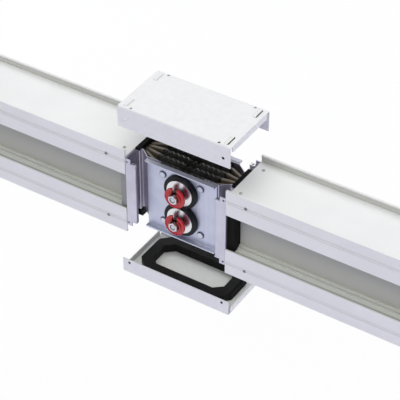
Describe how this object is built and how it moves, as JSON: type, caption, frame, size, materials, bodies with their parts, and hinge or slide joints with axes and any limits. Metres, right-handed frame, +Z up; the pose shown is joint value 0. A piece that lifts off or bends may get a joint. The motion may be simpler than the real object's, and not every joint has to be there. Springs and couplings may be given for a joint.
{
  "type": "busway straight section",
  "caption": "straight busway lengths in an off-white housing, meeting at a bolted joint with fanned bars, red bolt indicators and covers lifted off",
  "frame": {"origin": "middle of the joint: halfway between the two housings, on the middle line of the busway", "axes": "+X along the busway, +Y towards the nut side, +Z up; the red discs face -Y"},
  "size_m": [1.452, 0.158, 0.437],
  "materials": {
    "housing_paint": "smooth off-white powder coat",
    "cover_paint": "fine-textured off-white powder coat",
    "plated_steel": "zinc-plated sheet steel with vertical grain",
    "bracket_steel": "light zinc-plated sheet steel",
    "earth_steel": "darker zinc-plated sheet steel",
    "boot_moulding": "black moulded plastic",
    "gasket_rubber": "black closed-cell rubber",
    "bar_coating": "brown insulating coating on flat bar",
    "splice_metal": "tin-plated flat bar",
    "insulator_moulding": "dark moulded insulating sheet",
    "retainer_moulding": "dark grey moulded plastic",
    "washer_chrome": "bright plated spring steel",
    "indicator_red": "glossy red moulded plastic",
    "bolt_zinc": "bright zinc-plated steel",
    "screw_steel": "dark zinc-plated steel"
  },
  "bodies": {
    "root": {"bolt_nuts": "bolt_zinc", "bolt_sleeves": "insulator_moulding", "joint_back_retainer": "retainer_moulding", "joint_back_side_plate": "plated_steel", "joint_back_washers": "washer_chrome", "joint_front_retainer": "retainer_moulding", "joint_front_side_plate": "plated_steel", "joint_front_washers": "washer_chrome", "joint_insulator_1": "insulator_moulding", "joint_insulator_2": "insulator_moulding", "joint_insulator_3": "insulator_moulding", "joint_insulator_4": "insulator_moulding", "joint_insulator_5": "insulator_moulding", "left_back_profile": "housing_paint", "left_bottom_plate": "housing_paint", "left_busbar_1": "bar_coating", "left_busbar_2": "bar_coating", "left_busbar_3": "bar_coating", "left_busbar_4": "bar_coating", "left_far_boot": "boot_moulding", "left_far_brackets": "bracket_steel", "left_far_earth_sheets": "earth_steel", "left_front_profile": "housing_paint", "left_near_back_bracket": "bracket_steel", "left_near_back_earth_sheet": "earth_steel", "left_near_boot": "boot_moulding", "left_near_front_bracket": "bracket_steel", "left_near_front_earth_sheet": "earth_steel", "left_screws": "screw_steel", "left_top_plate": "housing_paint", "right_back_profile": "housing_paint", "right_bottom_plate": "housing_paint", "right_busbar_1": "bar_coating", "right_busbar_2": "bar_coating", "right_busbar_3": "bar_coating", "right_busbar_4": "bar_coating", "right_far_boot": "boot_moulding", "right_far_brackets": "bracket_steel", "right_far_earth_sheets": "earth_steel", "right_front_profile": "housing_paint", "right_near_back_bracket": "bracket_steel", "right_near_back_earth_sheet": "earth_steel", "right_near_boot": "boot_moulding", "right_near_front_bracket": "bracket_steel", "right_near_front_earth_sheet": "earth_steel", "right_screws": "screw_steel", "right_top_plate": "housing_paint", "splice_pair_1": "splice_metal", "splice_pair_2": "splice_metal", "splice_pair_3": "splice_metal", "splice_pair_4": "splice_metal"},
    "top_cover": {"top_cover": "cover_paint", "top_gasket": "gasket_rubber"},
    "bottom_cover": {"bottom_cover": "cover_paint", "bottom_gasket": "gasket_rubber"},
    "upper_bolt": {"upper_bolt": "bolt_zinc", "upper_indicator": "indicator_red"},
    "lower_bolt": {"lower_bolt": "bolt_zinc", "lower_indicator": "indicator_red"}
  },
  "joints": [
    {"name": "top_cover_lift", "type": "slide", "parent": "root", "child": "top_cover", "axis": [0, 0, 1], "range_m": [-0.1077, 0]},
    {"name": "bottom_cover_drop", "type": "slide", "parent": "root", "child": "bottom_cover", "axis": [0, 0, 1], "range_m": [0, 0.1102]},
    {"name": "upper_bolt_turn", "type": "hinge", "parent": "root", "child": "upper_bolt", "pos_m": [0, 0, 0.0355], "axis": [0, 1, 0], "continuous": true},
    {"name": "lower_bolt_turn", "type": "hinge", "parent": "root", "child": "lower_bolt", "pos_m": [0, 0, -0.0355], "axis": [0, 1, 0], "continuous": true}
  ]
}
